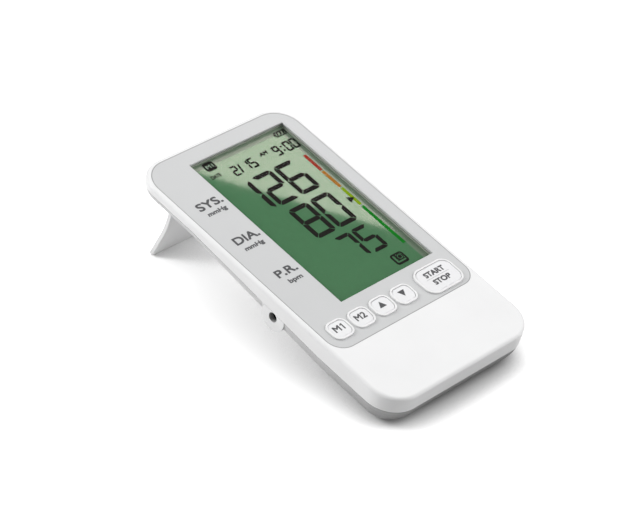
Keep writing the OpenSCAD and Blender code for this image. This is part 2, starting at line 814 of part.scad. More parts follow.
module display_reflector() {
    color("honeydew") on_table()
        translate([glass_x0 + 0.3, window_y + 0.3, board_z + stack_gap])
            cube([glass_x1 - glass_x0 - 0.6, glass_y1 - window_y - 0.6,
                glass_z - 2 * glass_t - board_z - stack_gap]);
}

module display_frame() {
    gap = frame_gap;
    rim_w = gap + frame_wall;
    back_y = board_y1 + 0.4;
    color("white") on_table() {
        difference() {
            translate([glass_x0 - rim_w, glass_y0 - rim_w, board_z + stack_gap])
                cube([glass_x1 - glass_x0 + 2 * rim_w, glass_y1 - glass_y0 + 2 * rim_w,
                    glass_z - board_z - stack_gap]);
            translate([glass_x0 - gap, glass_y0 - gap, board_z - over])
                cube([glass_x1 - glass_x0 + 2 * gap, glass_y1 - glass_y0 + 2 * gap, 2 * over - board_z]);
        }
        translate([glass_x0 - rim_w, back_y, board_z - 0.6])
            cube([glass_x1 - glass_x0 + 2 * rim_w, glass_y1 + rim_w - back_y, 0.6 + stack_gap - 0.02]);
        for (x = [glass_x0 - rim_w, glass_x1 + gap])
            translate([x, back_y, board_z - 0.6])
                cube([frame_wall, glass_y1 + rim_w - back_y, 0.6 + stack_gap + e]);
    }
}

module display_connector() {
    color("hotpink") on_table() translate([window_x0 + 4, glass_y0 + 0.4, board_z])
        cube([window_w - 8, 1.9, glass_z - glass_t - board_z]);
}

// ---------------------------------------------------------------- board

module main_board() {
    color("seagreen") on_table() difference() {
        translate([-board_x, board_y0, board_under]) cube([2 * board_x, board_y1 - board_y0, board_t]);
        for (at = board_screw_xy) translate([at[0], at[1], board_under - over])
            cylinder(r = board_screw_r + 0.1, h = board_t + 2 * over);
    }
}

module processor_chip() {
    color("#222222") on_table()
        translate([chip_x, chip_y, board_under - chip_size.z]) cube(chip_size);
}

module board_components() {
    color("#333344") on_table() {
        for (k = [1:3])
            translate([capacitor_x - (2 * capacitor_r + 0.6) * k, capacitor_y, board_under - capacitor_r])
                bar_y(capacitor_r - e, 0, capacitor_l);
        translate([driver_x, driver_y, board_under - driver_size.z]) cube(driver_size);
        translate([regulator_x, regulator_y, board_under - regulator_size.z]) cube(regulator_size);
    }
}

module buzzer() {
    color("black") on_table()
        translate([18.5 - board_x, board_y1 - 16, board_under - buzzer_h]) difference() {
            cylinder(r = buzzer_r, h = buzzer_h);
            translate([0, 0, -over]) cylinder(r = buzzer_r / 6, h = over + 1);
        }
}

module pressure_sensor() {
    color("#303030") on_table() {
        translate([sensor_x0, sensor_port_y - sensor_size[1] / 2, board_under - sensor_size[2]])
            cube(sensor_size);
        translate([sensor_x0, sensor_port_y, -socket_z]) mirror([1, 0, 0]) barb();
    }
}

module board_screws() {
    color("silver") on_table() for (at = board_screw_xy) translate([at[0], at[1], board_under]) {
        translate([0, 0, -board_head_h]) cylinder(r = board_head_r, h = board_head_h);
        translate([0, 0, -e]) cylinder(r = board_screw_r, h = board_t + 1.6 + e);
    }
}

// ---------------------------------------------------------------- batteries

module battery_door() {
    color("gainsboro") on_table() {
        difference() {
            intersection() {
                near_hull(0, 0);
                translate([-door_x, door_y0, -near_depth - over])
                    cube([2 * door_x, door_y1 - door_y0, near_depth + over + cell_z]);
            }
            near_hull(door_t, over);
            // grip grooves near the edge that is pulled
            for (y = grip_y) translate([0, y, -near_depth - grip_r / 2]) bar_x(grip_r, -9, 9);
        }
        // tabs that hook behind the shell at the far edge
        for (x = door_tab_x) {
            translate([x - tab_w / 2, door_y1 - tab_root, door_edge_z + tab_lift])
                cube([tab_w, tab_root + tab_l, tab_t]);
            translate([x - tab_w / 2, door_y1 - tab_root, door_edge_z + door_t - 0.4])
                cube([tab_w, tab_root, tab_lift - door_t + 0.4 + e]);
        }
    }
}

// A battery cell along x with its terminal at +x, its middle at the origin
module cell() {
    nub = 1;
    bar_x(cell_d / 2, -cell_l / 2, cell_l / 2 - nub);
    bar_x(1.9, cell_l / 2 - nub - e, cell_l / 2);
}

module battery_cells() {
    color("darkgoldenrod") on_table() for (k = [0:3])
        translate([0, cell_y[k], cell_z]) mirror([k % 2, 0, 0])
            translate([bay_x - contact_t - cell_l / 2, 0, 0]) cell();
}

// Bowed spring at a cell's flat end, open at one side, its plate side at x = 0
module bow_spring() {
    r = spring_l / 2;
    t = 0.3;
    difference() {
        translate([r, 0, -2.5]) cylinder(r = r, h = 5);
        translate([r, 0, -2.5 - over]) cylinder(r = r - t, h = 5 + 2 * over);
        translate([r - 0.9, 0, -2.5 - over]) cube([1.8, 2 * r, 5 + 2 * over]);
    }
}

// Contact plate on a side wall of the bay, over cells a to b
module contact_plate(side, a, b) {
    h = 7;
    y0 = cell_y[a] - 3.5;
    y1 = cell_y[b] + 3.5;
    x0 = side > 0 ? bay_x - contact_t : -bay_x;
    translate([x0, y0, cell_z - h / 2]) cube([contact_t, y1 - y0, h]);
}

module battery_contacts() {
    color("silver") on_table() {
        contact_plate(1, 0, 1);
        contact_plate(1, 2, 3);
        contact_plate(-1, 0, 0);
        contact_plate(-1, 1, 2);
        contact_plate(-1, 3, 3);
        for (k = [0:3]) translate([0, cell_y[k], cell_z]) mirror([k % 2, 0, 0])
            translate([-bay_x + contact_t - e, 0, 0]) bow_spring();
    }
}

// ---------------------------------------------------------------- stand

// Side view of the open stand, hinge axis at the origin, x outwards and y down
module stand_2d() {
    outer = stand_line(stand_t);
    // root that turns inside the hinge pocket and rests on its end wall
    root = [for (k = [0:root_steps - 1]) let(a = asin(stand_top / stand_out) * k / root_steps)
        stand_out * [cos(a), -sin(a)]];
    polygon(concat([[0, 0]], stand_line(0), [for (k = [len(outer) - 1:-1:1]) outer[k]], root,
        [[sqrt(pow(stand_out, 2) - pow(stand_top, 2)), -stand_top], [0, -stand_top]]));
}

module stand() {
    height = lift + (hinge_y + stand_out) * sin(tilt) + stand_w;
    barrel_x = stand_w / 2 - 0.25;
    color("white") on_table() difference() {
        union() {
            translate([0, hinge_y, hinge_z]) bar_x(barrel_r, -barrel_x, barrel_x);
            intersection() {
                translate([-stand_w, hinge_y, hinge_z]) rotate([90, 0, 90]) mirror([0, 1, 0])
                    linear_extrude(2 * stand_w) stand_2d();
                // outline with rounded corners, its foot flat on the table
                rotate([-tilt, 0, 0]) translate([0, big, -lift]) rotate([90, 0, 0])
                    linear_extrude(2 * big)
                        plate_2d(-stand_w / 2, stand_w / 2, 0, height, stand_corner_r, stand_corner_r);
            }
        }
        translate([0, hinge_y, hinge_z]) bar_x(pin_r + pin_gap, -stand_w, stand_w);
    }
}

module stand_pin() {
    reach = stand_w / 2 + stand_gap + 2.2;
    color("silver") on_table() translate([0, hinge_y, hinge_z]) bar_x(pin_r, -reach, reach);
}

// ---------------------------------------------------------------- air system

module air_socket() {
    color("#222222") on_table() translate([0, socket_y, -socket_z]) {
        difference() {
            union() {
                bar_x(socket_flange_r, socket_in, socket_in + socket_flange_t);
                bar_x(socket_body_r, socket_in + socket_flange_t - e, socket_end);
            }
            bar_x(socket_r, socket_in - over, socket_end - 1);
            bar_x(barb_bore, socket_end - 2, socket_end + over);
        }
        translate([socket_end, 0, 0]) barb();
    }
}

module socket_tube() {
    color("ghostwhite") on_table() translate([0, socket_y, -socket_z])
        tube_x(socket_end + 0.2, manifold_x0 - 0.2);
}

module pump_tube() {
    bend_y = pump_port_y - tube_bend_r;
    color("ghostwhite") on_table() translate([0, 0, -socket_z]) {
        translate([pump_port_x, 0, 0]) tube_y(pump_end + 0.2, bend_y);
        translate([pump_port_x + tube_bend_r, bend_y, 0]) tube_elbow();
        translate([0, pump_port_y, 0]) tube_x(pump_port_x + tube_bend_r, manifold_x0 - 0.2);
    }
}

module valve_tube() {
    color("ghostwhite") on_table() translate([0, valve_port_y, -socket_z])
        tube_x(manifold_x1 + 0.2, valve_x0 - 0.2);
}

module sensor_tube() {
    bend_y = sensor_port_y - tube_bend_r;
    color("ghostwhite") on_table() translate([0, 0, -socket_z]) {
        translate([sensor_port_x, 0, 0]) tube_y(manifold_y1 + 0.2, bend_y);
        translate([sensor_port_x + tube_bend_r, bend_y, 0]) tube_elbow();
        translate([0, sensor_port_y, 0]) tube_x(sensor_port_x + tube_bend_r, sensor_x0 - 0.2);
    }
}

module air_manifold() {
    color("ivory") on_table() translate([0, 0, -socket_z]) {
        translate([manifold_x0, manifold_y0, -manifold_h / 2])
            cube([manifold_x1 - manifold_x0, manifold_y1 - manifold_y0, manifold_h]);
        translate([manifold_x0, socket_y, 0]) mirror([1, 0, 0]) barb();
        translate([manifold_x0, pump_port_y, 0]) mirror([1, 0, 0]) barb();
        translate([manifold_x1, valve_port_y, 0]) barb();
        translate([sensor_port_x, manifold_y1, 0]) rotate([0, 0, 90]) barb();
    }
}

module pump_head() {
    color("#444444") on_table() {
        translate([pump_x, 0, pump_z]) {
            bar_y(pump_r, head_y, head_y + 8);
            bar_y(pump_r - 0.6, head_y + 8 - e, head_y + 9);
            bar_y(pump_r, head_y + 9 - e, pump_end);
        }
        translate([pump_port_x, pump_end, -socket_z]) rotate([0, 0, 90]) barb();
    }
}

module pump_motor() {
    color("silver") on_table() translate([pump_x, 0, pump_z]) {
        bar_y(pump_r, pump_y0 + 1.6, head_y - 0.3);
        bar_y(pump_r - 1, head_y - 0.3 - e, head_y);
        bar_y(2.5, pump_y0, pump_y0 + 1.6 + e);
    }
}

module release_valve() {
    color("#3a3a3a") on_table() {
        translate([valve_x0, valve_port_y - valve_size[1] / 2, -socket_z - valve_size[2] / 2])
            cube(valve_size);
        translate([valve_x0, valve_port_y, -socket_z]) mirror([1, 0, 0]) barb();
    }
}

// ---------------------------------------------------------------- fasteners

// Case screw with its head below seat
module case_screw(seat) {
    difference() {
        union() {
            translate([0, 0, seat - seat_t - screw_head_h]) cylinder(r = screw_head_r, h = screw_head_h);
            translate([0, 0, seat - seat_t - e]) cylinder(r = screw_r, h = case_screw_l + e);
        }
        for (turn = [0, 90]) rotate([0, 0, turn])
            translate([-1.3, -0.25, seat - seat_t - screw_head_h - over]) cube([2.6, 0.5, over + 0.8]);
    }
}

module case_screws() {
    color("silver") on_table() for (side = [-1, 1]) {
        translate([side * case_screw_xy[0][0], case_screw_xy[0][1], 0]) case_screw(near_seat_z);
        translate([side * case_screw_xy[1][0], case_screw_xy[1][1], 0]) case_screw(far_seat_z);
    }
}

// ---------------------------------------------------------------- the pieces

front_cover();
front_panel();
display_window();
small_key(0);  // memory_1_key
small_key(1);  // memory_2_key
small_key(2);  // up_key
small_key(3);  // down_key
start_key();
plunger(key_x[0], key_row_y);  // memory_1_plunger
plunger(key_x[1], key_row_y);  // memory_2_plunger
plunger(key_x[2], key_row_y);  // up_plunger
plunger(key_x[3], key_row_y);  // down_plunger
plunger(start_x, start_y);  // start_plunger
switch_bodies();
display_glass();
display_reflector();
display_frame();
display_connector();
main_board();
processor_chip();
board_components();
buzzer();
pressure_sensor();
board_screws();
rear_cover();
battery_door();
battery_cells();
battery_contacts();
stand();
stand_pin();
air_socket();
socket_tube();
pump_tube();
valve_tube();
sensor_tube();
air_manifold();
pump_head();
pump_motor();
release_valve();
case_screws();
rubber_feet();
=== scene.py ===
"""Looks of the tabletop blood pressure unit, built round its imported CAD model."""
import bpy
import bmesh
import math
from mathutils import Matrix, Vector


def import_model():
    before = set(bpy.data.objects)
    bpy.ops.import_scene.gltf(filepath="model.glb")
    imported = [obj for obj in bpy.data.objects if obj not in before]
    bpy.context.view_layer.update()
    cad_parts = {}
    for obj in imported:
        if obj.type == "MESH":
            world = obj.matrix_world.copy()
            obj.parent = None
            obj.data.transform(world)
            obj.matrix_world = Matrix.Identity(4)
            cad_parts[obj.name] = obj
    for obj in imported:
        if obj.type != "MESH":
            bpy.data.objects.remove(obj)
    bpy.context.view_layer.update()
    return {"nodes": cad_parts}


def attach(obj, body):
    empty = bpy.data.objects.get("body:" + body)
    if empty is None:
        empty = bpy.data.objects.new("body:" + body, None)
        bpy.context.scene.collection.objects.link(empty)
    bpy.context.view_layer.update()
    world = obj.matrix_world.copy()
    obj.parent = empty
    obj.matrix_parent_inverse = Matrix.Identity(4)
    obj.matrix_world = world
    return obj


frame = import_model()
nodes = frame["nodes"]

# ------------------------------------------------------------------ the device frame
# x across the face, y up the face from the panel's near edge, z out of the face, in mm
TILT = math.radians(17.12)
SHIFT_Y, LIFT = -56.708, 26.5176
DEVICE = (Matrix.Translation((0, SHIFT_Y / 1000, LIFT / 1000))
          @ Matrix.Rotation(TILT, 4, "X") @ Matrix.Scale(0.001, 4))
TURN = DEVICE.to_3x3().normalized()     # the device frame's directions in the world

# the display opening in the panel
WX0, WX1, WY0, WY1 = -20.32, 35.24, 21.22, 117.3
PAINTED_LIGHT_BAND = 3.7                        # width of the display's paler band along its far and right edges, which is painted light
# the air socket's boss: its middle and how far it reaches to each side
BOSS_Y, BOSS_REACH = 35.5, 7.2
DRAFT = 0.75                        # how far the rear shell's sides shade as turned down


def world(x, y, z):
    """A point of the device frame, in metres."""
    return DEVICE @ Vector((x, y, z))


def add(name, data):
    """An object for data, in the scene."""
    obj = bpy.data.objects.new(name, data)
    bpy.context.scene.collection.objects.link(obj)
    return obj


def mesh_of(name, verts, faces, look):
    mesh = bpy.data.meshes.new(name)
    mesh.from_pydata(verts, [], faces)
    mesh.materials.append(M[look])
    return mesh


# ------------------------------------------------------------------ materials
def shader(name, color, rough, spec=0.5, **sockets):
    """A material with its nodes, its links and its own Principled shader."""
    mat = bpy.data.materials.new(name)
    mat.use_nodes = True
    tree = mat.node_tree
    bsdf = tree.nodes["Principled BSDF"]
    bsdf.inputs["Base Color"].default_value = (*color, 1)
    bsdf.inputs["Roughness"].default_value = rough
    bsdf.inputs["Specular IOR Level"].default_value = spec
    for key, value in sockets.items():
        bsdf.inputs[key.replace("_", " ")].default_value = value
    return mat, tree.nodes, tree.links, bsdf


def noise(n, l, scale, detail=2.0, rough=0.5):
    """Noise over the object's own coordinates, scale per metre."""
    coord = n.new("ShaderNodeTexCoord")
    tex = n.new("ShaderNodeTexNoise")
    tex.inputs["Scale"].default_value = scale
    tex.inputs["Detail"].default_value = detail
    tex.inputs["Roughness"].default_value = rough
    l.new(coord.outputs["Object"], tex.inputs["Vector"])
    return tex.outputs["Fac"]


def remap(n, l, value, low, high):
    node = n.new("ShaderNodeMapRange")
    node.inputs["To Min"].default_value = low
    node.inputs["To Max"].default_value = high
    l.new(value, node.inputs["Value"])
    return node.outputs["Result"]


def tint(n, l, value, color, amount):
    """color, darker by up to amount where value is low."""
    ramp = n.new("ShaderNodeValToRGB")
    ramp.color_ramp.elements[0].color = (*[c * (1 - amount) for c in color], 1)
    ramp.color_ramp.elements[0].position = 0.3
    ramp.color_ramp.elements[1].color = (*color, 1)
    ramp.color_ramp.elements[1].position = 0.7
    l.new(value, ramp.inputs["Fac"])
    return ramp.outputs["Color"]


def blend(n, l, factor, a, b, mode="MIX"):
    """Colour a mixed with b, each a colour or a socket, by factor, a number or a socket."""
    node = n.new("ShaderNodeMix")
    node.data_type = "RGBA"
    node.blend_type = mode
    for name, value in (("Factor", factor), ("A", a), ("B", b)):
        if isinstance(value, bpy.types.NodeSocket):
            l.new(value, node.inputs[name])
        else:
            node.inputs[name].default_value = value
    return node.outputs["Result"]


def vector(n, l, operation, a, b=None):
    """A Vector Math node on a and b, each a vector or a socket."""
    node = n.new("ShaderNodeVectorMath")
    node.operation = operation
    for k, value in enumerate((a, b)):
        if isinstance(value, Vector):
            node.inputs[k].default_value = value
        elif value is not None:
            l.new(value, node.inputs[k])
    return node


def bump(n, l, bsdf, value, strength, depth):
    node = n.new("ShaderNodeBump")
    node.inputs["Strength"].default_value = strength
    node.inputs["Distance"].default_value = depth
    l.new(value, node.inputs["Height"])
    l.new(node.outputs["Normal"], bsdf.inputs["Normal"])


def moulded(name, color, rough, grain=7000, depth=8e-6, vary=0.03, spec=0.5, **sockets):
    """Moulded plastic or rubber: fine grain, slight unevenness of colour and gloss."""
    mat, n, l, bsdf = shader(name, color, rough, spec, **sockets)
    broad = noise(n, l, 45, 3)
    l.new(tint(n, l, broad, color, vary), bsdf.inputs["Base Color"])
    l.new(remap(n, l, broad, rough - 0.04, rough + 0.04), bsdf.inputs["Roughness"])
    bump(n, l, bsdf, noise(n, l, grain, 2, 0.6), 0.25, depth)
    return mat


def metal(name, color, rough):
    mat, n, l, bsdf = shader(name, color, rough, Metallic=1.0)
    fine = noise(n, l, 2500, 4, 0.65)
    l.new(tint(n, l, fine, color, 0.12), bsdf.inputs["Base Color"])
    l.new(remap(n, l, fine, rough - 0.06, rough + 0.1), bsdf.inputs["Roughness"])
    return mat


def printed(name, color, rough=0.5, vary=0.15, spec=0.3):
    """Ink: grainy at the size of its dots."""
    mat, n, l, bsdf = shader(name, color, rough, spec)
    l.new(tint(n, l, noise(n, l, 9000, 2), color, vary), bsdf.inputs["Base Color"])
    return mat


WHITE = (0.87, 0.87, 0.872)
M = {
    "shell": moulded("white_shell", WHITE, 0.45, spec=0.35),
    "inner": moulded("white_inner", (0.72, 0.72, 0.69), 0.5),
    "panel": moulded("grey_panel", (0.595, 0.60, 0.603), 0.33, grain=9000, depth=5e-6, vary=0.02),
    "key": moulded("key_white", (0.83, 0.83, 0.84), 0.4, grain=9000, depth=5e-6),
    "black": moulded("black_plastic", (0.03, 0.03, 0.032), 0.45, vary=0.3),
    "dark": moulded("plunger_plastic", (0.05, 0.05, 0.05), 0.4, vary=0.3),
    "socket": moulded("socket_black", (0.012, 0.012, 0.013), 0.6, vary=0.3, spec=0.3),
    "foot": moulded("rubber_foot", (0.30, 0.30, 0.30), 0.75, grain=3000, depth=2e-5, vary=0.15),
    "tube": moulded("silicone_tube", (0.72, 0.73, 0.72), 0.35, grain=2500, vary=0.06),
    "steel": metal("steel", (0.58, 0.58, 0.58), 0.32),
    "contact": metal("contact_metal", (0.68, 0.66, 0.60), 0.28),
    "can": metal("motor_can", (0.62, 0.62, 0.62), 0.36),
}


def rear_material():
    """The rear shell: as the cover, with painted shade that darkens its colour close to what it
    stands on. Its sides shade as drafted walls, turned a little to the underside, except at the air
    socket's boss."""
    mat = moulded("white_rear_shell", WHITE, 0.5, spec=0.3)
    n, l = mat.node_tree.nodes, mat.node_tree.links
    bsdf = n["Principled BSDF"]
    # painted shade: ambient occlusion within 30 mm darkens the base colour near the floor
    near = n.new("ShaderNodeAmbientOcclusion")
    near.samples = 6
    near.inputs["Distance"].default_value = 0.03
    painted_contact_shade = remap(n, l, near.outputs["AO"], 0.15, 1.0)
    plain = bsdf.inputs["Base Color"].links[0].from_socket
    l.new(blend(n, l, 1, plain, painted_contact_shade, "MULTIPLY"), bsdf.inputs["Base Color"])
    up_face, out = TURN @ Vector((0, 1, 0)), TURN @ Vector((0, 0, 1))
    coord = n.new("ShaderNodeTexCoord")
    along = vector(n, l, "DOT_PRODUCT", coord.outputs["Object"], up_face).outputs["Value"]
    boss = n.new("ShaderNodeMath")
    boss.operation = "COMPARE"
    boss.inputs[1].default_value = world(0, BOSS_Y, 0).dot(up_face)
    boss.inputs[2].default_value = BOSS_REACH / 1000
    l.new(along, boss.inputs[0])
    draft = n.new("ShaderNodeMapRange")
    draft.inputs["To Min"].default_value = -DRAFT
    draft.inputs["To Max"].default_value = 0.0
    l.new(boss.outputs[0], draft.inputs["Value"])
    lean = vector(n, l, "SCALE", out)
    l.new(draft.outputs["Result"], lean.inputs["Scale"])
    turned = vector(n, l, "ADD", bsdf.inputs["Normal"].links[0].from_socket, lean.outputs["Vector"])
    unit = vector(n, l, "NORMALIZE", turned.outputs["Vector"])
    l.new(unit.outputs["Vector"], bsdf.inputs["Normal"])
    return mat


def board_material():
    """Green solder mask with copper tracks showing faintly through it."""
    mat, n, l, bsdf = shader("board", (0.02, 0.16, 0.07), 0.3)
    coord = n.new("ShaderNodeTexCoord")
    brick = n.new("ShaderNodeTexBrick")
    brick.inputs["Scale"].default_value = 160
    brick.inputs["Mortar Size"].default_value = 0.035
    brick.inputs["Color1"].default_value = (0.015, 0.14, 0.06, 1)
    brick.inputs["Color2"].default_value = (0.02, 0.17, 0.075, 1)
    brick.inputs["Mortar"].default_value = (0.05, 0.26, 0.11, 1)
    l.new(coord.outputs["Object"], brick.inputs["Vector"])
    l.new(brick.outputs["Color"], bsdf.inputs["Base Color"])
    bump(n, l, bsdf, brick.outputs["Fac"], 0.3, 3e-5)
    return mat


def cell_material():
    """Plain wrapped cells: dark sleeve with a copper-coloured end band, by place across the bay."""
    mat, n, l, bsdf = shader("cell_wrap", (0.05, 0.05, 0.055), 0.25)
    coord = n.new("ShaderNodeTexCoord")
    wave = n.new("ShaderNodeTexWave")
    wave.bands_direction = "X"
    wave.inputs["Scale"].default_value = 9
    wave.inputs["Phase Offset"].default_value = 1.2
    ramp = n.new("ShaderNodeValToRGB")
    ramp.color_ramp.interpolation = "CONSTANT"
    ramp.color_ramp.elements[0].color = (0.05, 0.05, 0.055, 1)
    ramp.color_ramp.elements[1].position = 0.72
    ramp.color_ramp.elements[1].color = (0.45, 0.20, 0.08, 1)
    l.new(coord.outputs["Object"], wave.inputs["Vector"])
    l.new(wave.outputs["Fac"], ramp.inputs["Fac"])
    l.new(ramp.outputs["Color"], bsdf.inputs["Base Color"])
    return mat


def connector_material():
    """Elastomer strip with its conducting stripes."""
    mat, n, l, bsdf = shader("connector", (0.6, 0.35, 0.4), 0.6)
    coord = n.new("ShaderNodeTexCoord")
    wave = n.new("ShaderNodeTexWave")
    wave.bands_direction = "X"
    wave.inputs["Scale"].default_value = 900
    l.new(coord.outputs["Object"], wave.inputs["Vector"])
    l.new(tint(n, l, wave.outputs["Fac"], (0.62, 0.36, 0.40), 0.85), bsdf.inputs["Base Color"])
    return mat


def display_material():
    """Segment display: green reflective back under smooth glass, paler and less glossy towards its
    far and right edges, where painted light stands in for light reaching it under the panel."""
    color, painted_light_tone = (0.068, 0.202, 0.092), (0.155, 0.215, 0.15)
    mat, n, l, bsdf = shader("display_glass", color, 0.03, 0.5, IOR=2.05)
    coord = n.new("ShaderNodeTexCoord")
    # painted light: a paler, less glossy band along the far and right edges
    away = []
    for direction, edge in ((Vector((1, 0, 0)), WX1), (Vector((0, 1, 0)), WY1)):
        axis = TURN @ direction
        dot = vector(n, l, "DOT_PRODUCT", coord.outputs["Object"], axis)
        start = world(*(direction * (edge - PAINTED_LIGHT_BAND))).dot(axis)
        ramp = n.new("ShaderNodeMapRange")
        ramp.inputs["From Min"].default_value = start
        ramp.inputs["From Max"].default_value = start + 0.0009
        l.new(dot.outputs["Value"], ramp.inputs["Value"])
        away.append(ramp.outputs["Result"])
    most = n.new("ShaderNodeMath")
    most.operation = "MAXIMUM"
    l.new(away[0], most.inputs[0])
    l.new(away[1], most.inputs[1])
    inside = tint(n, l, noise(n, l, 300, 3), color, 0.03)
    l.new(blend(n, l, most.outputs[0], inside, (*painted_light_tone, 1)), bsdf.inputs["Base Color"])
    l.new(remap(n, l, most.outputs[0], 0.5, 0.2), bsdf.inputs["Specular IOR Level"])
    bsdf.inputs["Specular Tint"].default_value = (1.0, 0.95, 0.78, 1)
    return mat


def window_material():
    mat, n, l, bsdf = shader("clear_window", (0.05, 0.055, 0.05), 0.03, 0.5, Alpha=0.02)
    l.new(remap(n, l, noise(n, l, 60, 2), 0.02, 0.05), bsdf.inputs["Roughness"])
    return mat


M["rear"] = rear_material()
M["board"] = board_material()
M["cell"] = cell_material()
M["connector"] = connector_material()
M["display"] = display_material()
M["window"] = window_material()
M["reflector"] = moulded("reflector", (0.62, 0.70, 0.60), 0.3)
M["gasket"] = moulded("foam_gasket", (0.40, 0.44, 0.37), 0.8, grain=3000, depth=2e-5, vary=0.1)
M["segment"] = printed("display_segments", (0.012, 0.011, 0.009), 0.5, 0.2, 0.04)
# painted shade: the dark colour of the strip in the panel's joint
M["groove"] = printed("panel_groove_shade", (0.36, 0.36, 0.365), 0.6, 0.1)
# painted shadow: the dark colour of the strip under the seam
M["seam"] = printed("seam_shadow", (0.24, 0.24, 0.245), 0.7, 0.1)
M["ink"] = printed("legend_ink", (0.085, 0.085, 0.09), 0.5)
M["ink_small"] = printed("legend_ink_small", (0.10, 0.10, 0.105), 0.5)
M["divider"] = printed("key_divider_ink", (0.55, 0.55, 0.56), 0.5, 0.05)
M["badge"] = printed("badge_light", (0.30, 0.42, 0.30), 0.4, 0.1)
M["red"] = printed("bar_red", (0.33, 0.032, 0.018), 0.6, 0.08, 0.05)
M["orange"] = printed("bar_orange", (0.40, 0.16, 0.02), 0.6, 0.08, 0.05)
M["lime"] = printed("bar_lime", (0.21, 0.34, 0.005), 0.6, 0.08, 0.05)
M["green"] = printed("bar_green", (0.003, 0.19, 0.010), 0.6, 0.08, 0.05)

LOOK = {
    "front_cover": "shell", "rear_cover": "rear", "battery_door": "shell", "stand": "shell",
    "front_panel": "panel", "display_window": "window", "display_glass": "display",
    "display_reflector": "reflector", "display_frame": "inner", "display_connector": "connector",
    "switch_bodies": "steel", "main_board": "board", "processor_chip": "black",
    "board_components": "black", "buzzer": "black", "pressure_sensor": "black",
    "board_screws": "steel", "case_screws": "steel", "stand_pin": "steel",
    "battery_cells": "cell", "battery_contacts": "contact", "air_socket": "socket",
    "socket_tube": "tube", "pump_tube": "tube", "valve_tube": "tube", "sensor_tube": "tube",
    "air_manifold": "inner", "pump_head": "black", "pump_motor": "can", "release_valve": "black",
    "rubber_feet": "foot",
}
for key in ("memory_1", "memory_2", "up", "down", "start"):
    LOOK[key + "_key"] = "key"
    LOOK[key + "_plunger"] = "dark"
for name, obj in nodes.items():
    for slot in obj.material_slots:
        slot.material = M[LOOK[name]]
    if not obj.material_slots:
        obj.data.materials.append(M[LOOK[name]])


# ------------------------------------------------------------------ flat shapes
def flat(name, polygons, z, look, body="case"):
    """One piece of flat polygons, given as lists of (x, y) in the device frame at height z."""
    mesh = bpy.data.meshes.new(name)
    obj = add(name, mesh)
    bm = bmesh.new()
    for poly in polygons:
        bm.faces.new([bm.verts.new(world(x, y, z)) for x, y in poly])
    bmesh.ops.triangulate(bm, faces=bm.faces[:])
    bmesh.ops.recalc_face_normals(bm, faces=bm.faces[:])
    up = TURN @ Vector((0, 0, 1))
    bm.normal_update()
    for face in bm.faces:
        if face.normal.dot(up) < 0:
            face.normal_flip()
    bm.to_mesh(mesh)
    bm.free()
    mesh.materials.append(M[look])
    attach(obj, body)
    return obj


def lettering(name, text, box, z, look, body="case", bold=0.0, shear=0.0):
    """Generic lettering, scaled to fill box = (x0, x1, y0, y1) of the device frame at height z.
    bold widens its strokes by that much, with copies a hair above each other."""
    curve = bpy.data.curves.new(name + "_text", "FONT")
    curve.body = text
    curve.shear = shear
    curve.resolution_u = 5
    temp = add(name + "_text", curve)
    depsgraph = bpy.context.evaluated_depsgraph_get()
    plain = bpy.data.meshes.new_from_object(temp.evaluated_get(depsgraph))
    bpy.data.objects.remove(temp)
    bpy.data.curves.remove(curve)
    xs = [v.co.x for v in plain.vertices]
    ys = [v.co.y for v in plain.vertices]
    b = bold / 2
    x0, x1, y0, y1 = box[0] + b, box[1] - b, box[2] + b, box[3] - b
    verts, faces = [], []
    shifts = [(0, 0)] if not bold else [(-b, -b), (b, -b), (-b, b), (b, b), (0, 0)]
    for k, (dx, dy) in enumerate(shifts):
        base = len(verts)
        for v in plain.vertices:
            fx = (v.co.x - min(xs)) / (max(xs) - min(xs))
            fy = (v.co.y - min(ys)) / (max(ys) - min(ys))
            verts.append(world(x0 + fx * (x1 - x0) + dx, y0 + fy * (y1 - y0) + dy, z + 0.002 * k))
        faces += [[base + i for i in poly.vertices] for poly in plain.polygons]
    bpy.data.meshes.remove(plain)
    obj = add(name, mesh_of(name, verts, faces, look))
    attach(obj, body)
    return obj


def arc(cx, cy, r, a0, a1, steps=8):
    return [(cx + r * math.cos(math.radians(a0 + (a1 - a0) * k / steps)),
             cy + r * math.sin(math.radians(a0 + (a1 - a0) * k / steps))) for k in range(steps + 1)]


def rounded(x0, x1, y0, y1, r):
    return (arc(x1 - r, y1 - r, r, 0, 90) + arc(x0 + r, y1 - r, r, 90, 180)
            + arc(x0 + r, y0 + r, r, 180, 270) + arc(x1 - r, y0 + r, r, 270, 360))


def band(outer, inner):
    """Quads between two outlines with the same number of points."""
    n = len(outer)
    return [[outer[k], outer[(k + 1) % n], inner[(k + 1) % n], inner[k]] for k in range(n)]


def box(x0, x1, y0, y1, lean=0.0):
    """A rectangle whose upper edge is shifted sideways by lean."""
    return [(x0, y0), (x1, y0), (x1 + lean, y1), (x0 + lean, y1)]


# ------------------------------------------------------------------ the display's segments
SEGMENTS = {"0": "abcdef", "1": "bc", "2": "abged", "3": "abgcd", "4": "fgbc", "5": "afgcd",
            "6": "afgecd", "7": "abc", "8": "abcdefg", "9": "abcdfg"}


